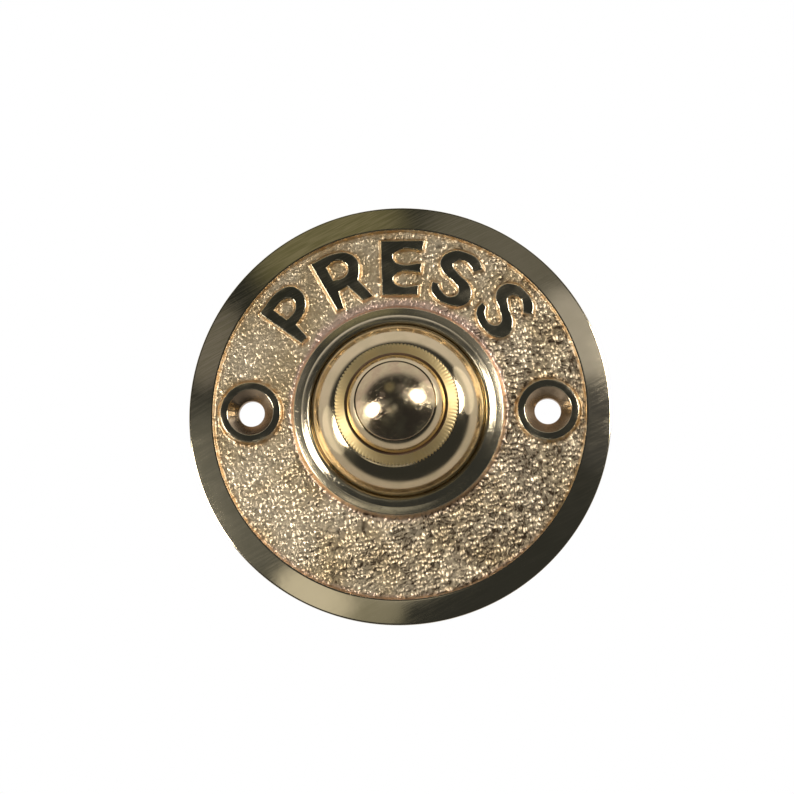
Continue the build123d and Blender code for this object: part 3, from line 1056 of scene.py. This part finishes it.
leafPiece = meshObject("sprung_leaf", drawLeaf())
eyeletSpan = [leaf["footHeight"] + side * leaf["eyeletReach"] for side in (-1, 1)]
eyelet = drawPlug(leaf["eyelet"], leaf["eyelet"], *eyeletSpan, leaf["terminal"])
combine(leafPiece, meshObject("eyelet_hole", eyelet), "DIFFERENCE")
pipTop = leaf["flatHeight"] - leaf["thickness"] / 2 + leaf["pipSunk"]
pip = drawPlug(leaf["pipTip"], leaf["pip"], leaf["pipEnd"], pipTop, 0)
combine(leafPiece, meshObject("contact_pip", pip), "UNION")
leafPiece.data.materials.clear()
leafPiece.data.materials.append(bronzeFinish)
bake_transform(leafPiece)
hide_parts("contact_spring")
print("sprung leaf", len(leafPiece.data.polygons), "faces")


# Pieces behind the plate keep their solids and get a finish
insideFinishes = {
    "button_tip": fibreFinish,
    "contact_base": phenolicFinish,
    "contact_strip": bronzeFinish,
    "terminal_bushes": terminalFinish,
    "terminal_screws": terminalScrewFinish,
    "terminal_washers": terminalFinish,
    "base_screws": steelFinish,
}
for name, finish in insideFinishes.items():
    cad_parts[name].material_slots[0].material = finish


# Camera at the photograph's viewing angle, below and to the right of the plate's axis
shot = {
    "azimuth": 3.2, "elevation": -9.6, "distance": 0.267, "frameWidth": 142.3, "clipStart": 0.005,
    "about": (0, 3.0, 0), "aim": (-0.25, 3.0, 2.5),
}


def placeCamera():
    data = bpy.data.cameras.new("camera")
    camera = addObject("camera", data)
    azimuth = math.radians(shot["azimuth"])
    elevation = math.radians(shot["elevation"])
    toward = Vector((math.sin(azimuth) * math.cos(elevation), -math.cos(azimuth) * math.cos(elevation),
                     math.sin(elevation)))
    place = onFace(*shot["about"]) + toward * shot["distance"]
    aim = onFace(*shot["aim"])
    camera.location = place
    camera.rotation_euler = (aim - place).to_track_quat("-Z", "Y").to_euler()
    data.lens = data.sensor_width * shot["distance"] / (shot["frameWidth"] * mm)
    data.clip_start = shot["clipStart"]
    bpy.context.scene.camera = camera


placeCamera()


# Studio: pale floor, a dark room in front of the plate, a pale surround, a white backdrop and soft lamps
# A direction's clock runs from twelve o'clock on the plate and its tilt from the push axis, in degrees
studio = {
    "floor": -0.28, "floorFront": -3.0, "floorSize": 5.0, "floorGlow": 0.75, "floorGrain": 30,
    "floorColour": (0.86, 0.85, 0.83), "floorMottle": 0.97, "floorRoughness": 0.9,
    "dark": (0.034, 0.038, 0.041), "paleAbove": (0.64, 0.64, 0.66), "paleBelow": (0.46, 0.45, 0.445),
    "darkClock": 153, "darkTilt": 7.0, "darkFrom": 0.39, "paleFrom": 0.21,
    "whiteTilt": 165, "whiteFrom": 0.88, "whiteFull": 0.99,
    "patches": [
        {"clock": -21, "tilt": 38.5, "spread": 13, "light": (0.21, 0.21, 0.15)},
        {"clock": 18, "tilt": 36, "spread": 13, "light": (0.15, 0.155, 0.155)},
        {"clock": 47, "tilt": 30.5, "spread": 8.5, "light": (0.44, 0.45, 0.48)},
        {"clock": 74, "tilt": 27, "spread": 8, "light": (0.055, 0.06, 0.07)},
        {"clock": -97, "tilt": 30, "spread": 16, "light": (0.14, 0.15, 0.155)},
        {"clock": -57, "tilt": 35.6, "spread": 7, "light": (0.20, 0.20, 0.21)},
        {"clock": -156, "tilt": 20, "spread": 7, "light": (0.26, 0.265, 0.235)},
        {"clock": -137, "tilt": 22.5, "spread": 7, "light": (0.66, 0.66, 0.62)},
        {"clock": -167, "tilt": 11, "spread": 7, "light": (0.42, 0.43, 0.42)},
    ],
    "lamps": [
        {"clock": -102, "tilt": 49, "distance": 0.55, "size": 0.22, "watts": 1.6},
        {"clock": 69, "tilt": 47.5, "distance": 0.55, "size": 0.22, "watts": 1.8},
        {"clock": -101, "tilt": 72, "distance": 0.55, "size": 0.4, "watts": 0.17},
        {"clock": 67, "tilt": 72, "distance": 0.55, "size": 0.4, "watts": 0.19},
    ],
}


def facing(clock, tilt):
    clock = math.radians(clock)
    tilt = math.radians(tilt)
    return Vector((math.sin(tilt) * math.sin(clock), -math.cos(tilt), math.sin(tilt) * math.cos(clock)))


# Cosine between the direction that is looked at and a given one
def nearness(tree, clock, tilt):
    toward = addNode(tree, "ShaderNodeTexCoord").outputs["Generated"]
    node = addNode(tree, "ShaderNodeVectorMath", operation="DOT_PRODUCT")
    node.inputs[1].default_value = facing(clock, tilt)
    tree.links.new(toward, node.inputs[0])
    return node.outputs["Value"]


def mixShaders(tree, share, first, second, output):
    mix = addNode(tree, "ShaderNodeMixShader")
    for socket, source in zip(mix.inputs, (share, first.outputs[0], second.outputs[0])):
        tree.links.new(source, socket)
    tree.links.new(mix.outputs[0], tree.nodes[output].inputs["Surface"])


def buildFloor():
    bm = bmesh.new()
    bmesh.ops.create_grid(bm, x_segments=1, y_segments=1, size=studio["floorSize"] / 2)
    floor = meshObject("floor", bm)
    floor.location = (0, studio["floorFront"] + studio["floorSize"] / 2, studio["floor"])
    material, tree, shader = newMaterial("paleFloor")
    paper = patchNoise(tree, studio["floorGrain"], detail=3)
    pale = studio["floorColour"]
    colour = mixColours(tree, paper, pale, tuple(studio["floorMottle"] * value for value in pale))
    tree.links.new(colour, shader.inputs["Base Color"])
    setInputs(shader, Roughness=studio["floorRoughness"])
    white = addNode(tree, "ShaderNodeEmission")
    path = addNode(tree, "ShaderNodeLightPath")
    shown = mathNode(tree, "MULTIPLY", path.outputs["Is Camera Ray"], studio["floorGlow"])
    mixShaders(tree, shown, shader, white, "Material Output")
    floor.data.materials.append(material)
    floor.visible_glossy = False
    floor.visible_shadow = False


def buildWorld():
    world = bpy.data.worlds.new("studio")
    bpy.context.scene.world = world
    world.use_nodes = True
    tree = world.node_tree
    room = tree.nodes["Background"]
    front = nearness(tree, studio["darkClock"], studio["darkTilt"])
    shade = rangeNode(tree, front, studio["paleFrom"], studio["darkFrom"], 0, 1)
    upward = rangeNode(tree, nearness(tree, 0, 90), -1, 1, 0, 1)
    pale = mixColours(tree, upward, studio["paleBelow"], studio["paleAbove"])
    colour = mixColours(tree, shade, pale, studio["dark"])
    for patch in studio["patches"]:
        edge, middle = [math.cos(math.radians(share * patch["spread"])) for share in (1, 0.5)]
        glow = rangeNode(tree, nearness(tree, patch["clock"], patch["tilt"]), edge, middle, 0, 1)
        colour = mixColours(tree, glow, colour, patch["light"])
    tree.links.new(colour, room.inputs["Color"])
    white = addNode(tree, "ShaderNodeBackground")
    setInputs(white, Color=(1, 1, 1, 1), Strength=1.0)
    path = addNode(tree, "ShaderNodeLightPath")
    behind = nearness(tree, 0, studio["whiteTilt"])
    behind = rangeNode(tree, behind, studio["whiteFrom"], studio["whiteFull"], 0, 1)
    mirrored = mathNode(tree, "MAXIMUM", path.outputs["Is Glossy Ray"], path.outputs["Is Transmission Ray"])
    mirrored = mathNode(tree, "MULTIPLY", mirrored, behind)
    shown = mathNode(tree, "MAXIMUM", path.outputs["Is Camera Ray"], mirrored)
    mixShaders(tree, shown, room, white, "World Output")


def hangLamp(number, lamp):
    data = bpy.data.lights.new(f"softLamp{number}", "AREA")
    data.shape = "DISK"
    data.size = lamp["size"]
    data.energy = lamp["watts"]
    light = addObject(data.name, data)
    toward = facing(lamp["clock"], lamp["tilt"])
    light.location = toward * lamp["distance"]
    light.rotation_euler = toward.to_track_quat("Z", "Y").to_euler()
    light.visible_camera = False


buildFloor()
buildWorld()
for number, lamp in enumerate(studio["lamps"]):
    hangLamp(number, lamp)
bpy.context.scene.view_settings.view_transform = "Standard"
print("studio ready")
